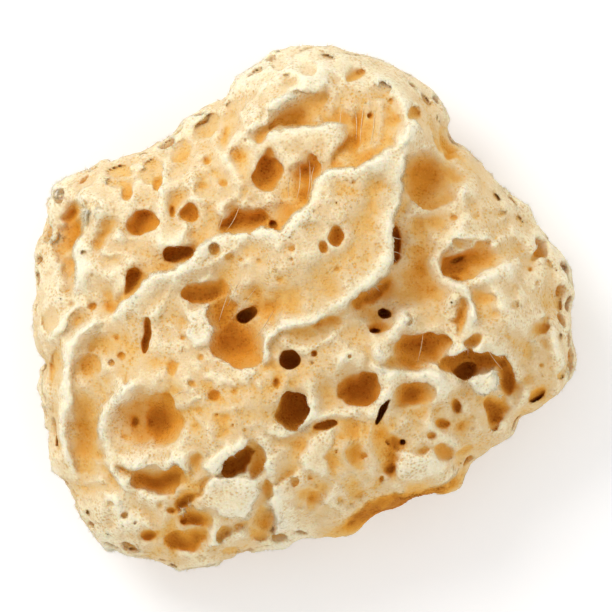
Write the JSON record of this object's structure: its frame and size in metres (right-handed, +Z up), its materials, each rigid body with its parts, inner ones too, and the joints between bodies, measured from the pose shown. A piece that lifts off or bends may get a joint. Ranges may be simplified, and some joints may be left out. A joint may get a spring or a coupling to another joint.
{
  "type": "sea sponge",
  "caption": "Natural honeycomb bath sponge, one grown piece with folds, crests and open pits, cut flat underneath, for washing or display.",
  "frame": {"origin": "on the flat cut base, under the middle of the sponge's outline seen from above", "axes": "+Z up out of the cut base, +X along the longest side of the outline, +Y towards the narrow top lobe"},
  "size_m": [0.137, 0.1292, 0.0657],
  "materials": {
    "sponge_skeleton": "matt soft fibrous sponge, cream on the crests and amber in the hollows"
  },
  "bodies": {
    "root": {"sponge": "sponge_skeleton"}
  },
  "joints": []
}
